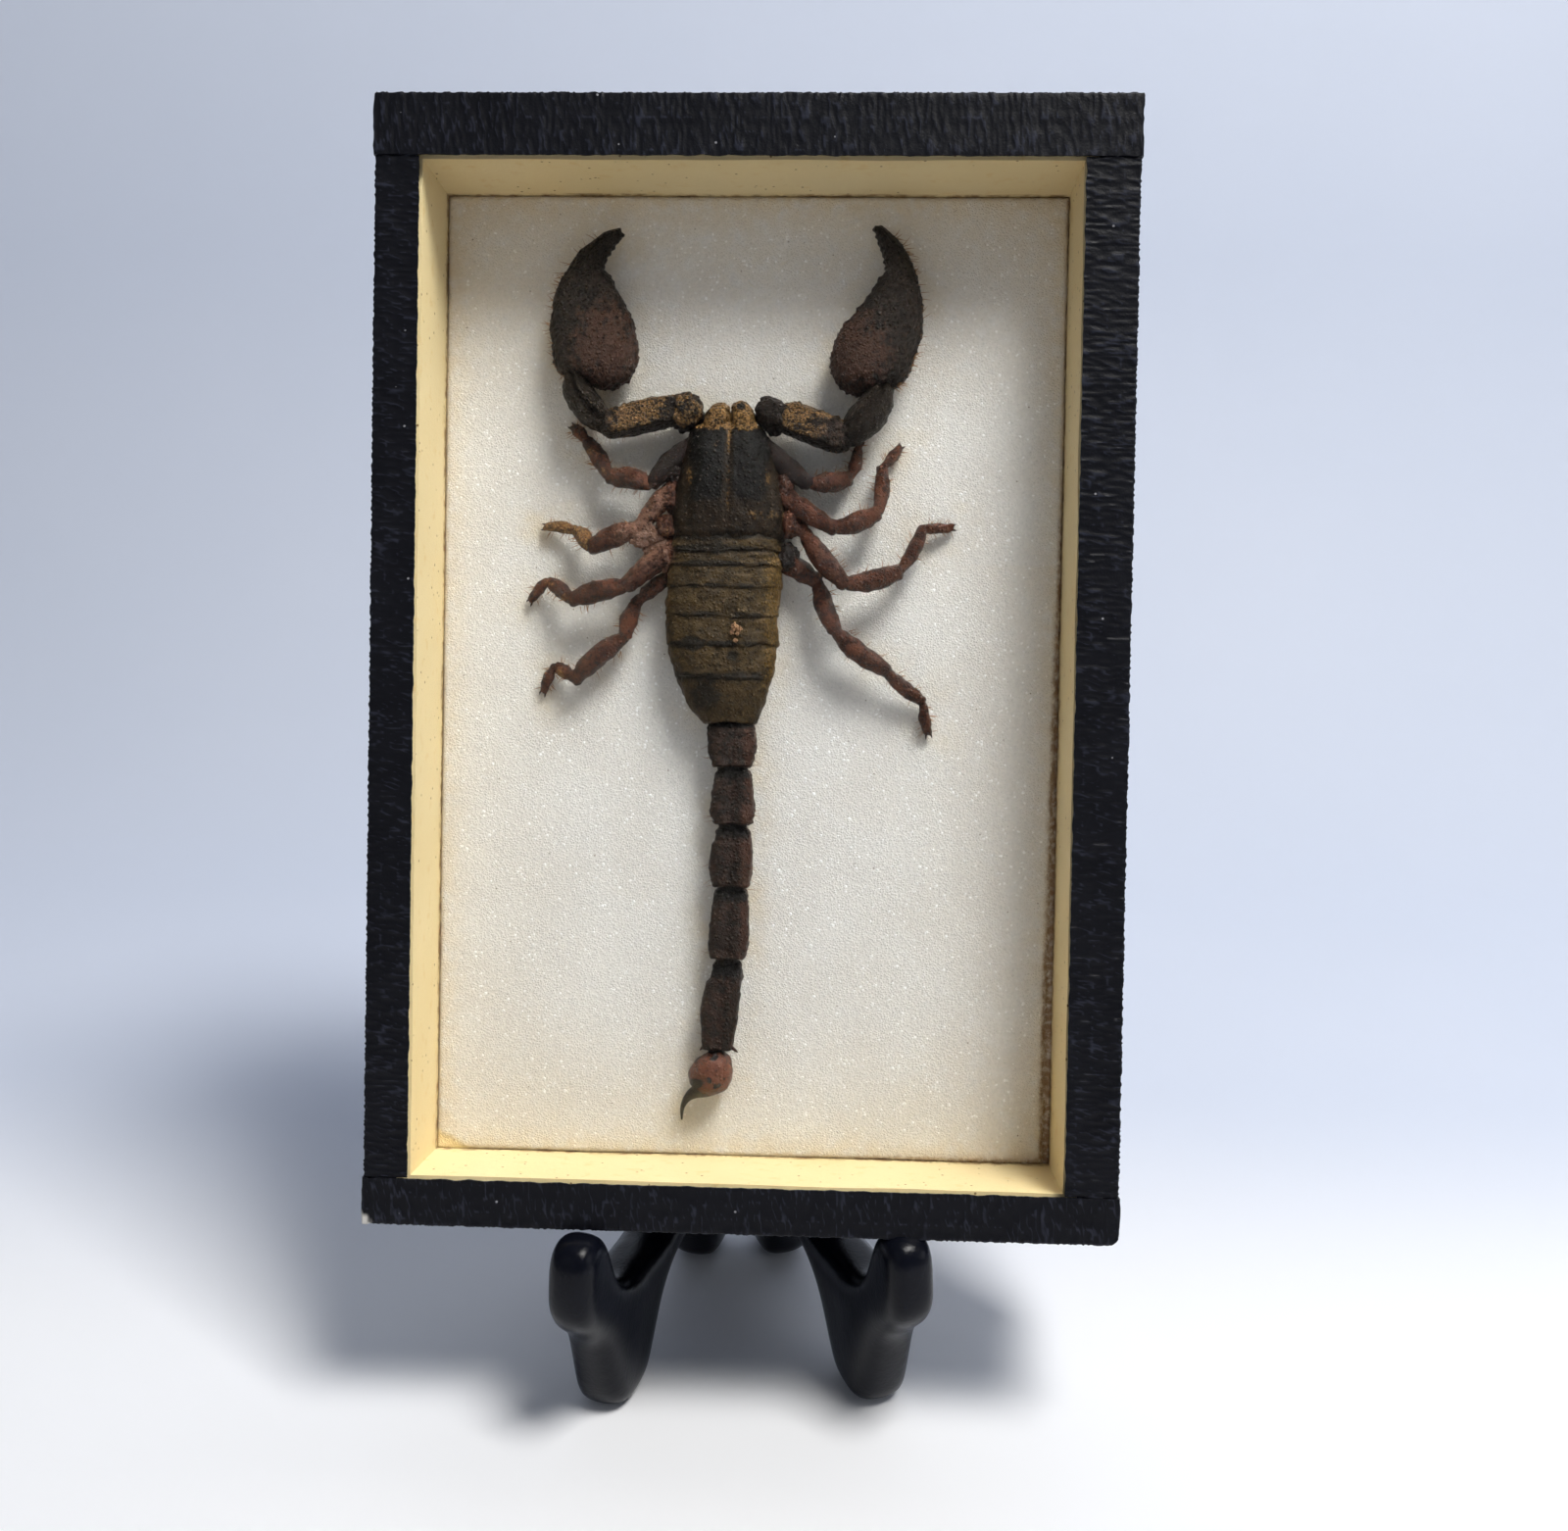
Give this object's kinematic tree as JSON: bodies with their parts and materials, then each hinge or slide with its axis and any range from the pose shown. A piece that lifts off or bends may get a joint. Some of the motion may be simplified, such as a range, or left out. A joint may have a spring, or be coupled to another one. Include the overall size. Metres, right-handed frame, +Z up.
{
  "type": "framed scorpion specimen",
  "caption": "Dried scorpion on a foam bed in a shallow glazed case bound with black paper tape, leaning on a folding wooden easel whose hooks hold its lower edge",
  "frame": {"origin": "on the surface that the easel stands on, under the middle of the object's bounding box", "axes": "+Z up, +X to the viewer's right, -Y out of the glazed front of the case"},
  "size_m": [0.13, 0.0878, 0.2272],
  "materials": {
    "black_tape": "crepe-ribbed black binding paper, dull",
    "cream_board": "cream coated board, smooth and matt, a little stained",
    "brown_board": "plain grey-brown board",
    "white_foam": "fine-grained white foam, sparkling, stained yellow at the edges",
    "clear_glass": "clear flat pane",
    "body_brown": "dry olive-brown cuticle, dull",
    "claw_brown": "granular dark brown cuticle",
    "leg_brown": "reddish brown cuticle with soft highlights",
    "black_paint": "satin black paint over wood, slightly lumpy",
    "hinge_brass": "plain brassed steel"
  },
  "bodies": {
    "display": {"back_board": "brown_board", "foam_bed": "white_foam", "glass_pane": "clear_glass", "wall_left": "cream_board", "wall_right": "cream_board", "wall_top": "cream_board", "wall_bottom": "cream_board", "tape_left": "black_tape", "tape_right": "black_tape", "tape_top": "black_tape", "tape_bottom": "black_tape", "scorpion_body": "body_brown", "scorpion_arm_left": "claw_brown", "scorpion_arm_right": "claw_brown", "scorpion_leg_left_1": "leg_brown", "scorpion_leg_left_2": "leg_brown", "scorpion_leg_left_3": "leg_brown", "scorpion_leg_left_4": "leg_brown", "scorpion_leg_right_1": "leg_brown", "scorpion_leg_right_2": "leg_brown", "scorpion_leg_right_3": "leg_brown", "scorpion_leg_right_4": "leg_brown", "easel_half_left": "black_paint", "hinge_lower_leaf_left": "hinge_brass", "hinge_upper_leaf_left": "hinge_brass", "hinge_lower_pin": "hinge_brass", "hinge_upper_pin": "hinge_brass"},
    "easel_wing": {"easel_half_right": "black_paint", "hinge_lower_leaf_right": "hinge_brass", "hinge_upper_leaf_right": "hinge_brass"}
  },
  "joints": [
    {"name": "easel_fold", "type": "hinge", "parent": "display", "child": "easel_wing", "pos_m": [-0.004, 0.02846, 0.06], "axis": [0, 0, -1], "range_deg": [0, 37]}
  ]
}
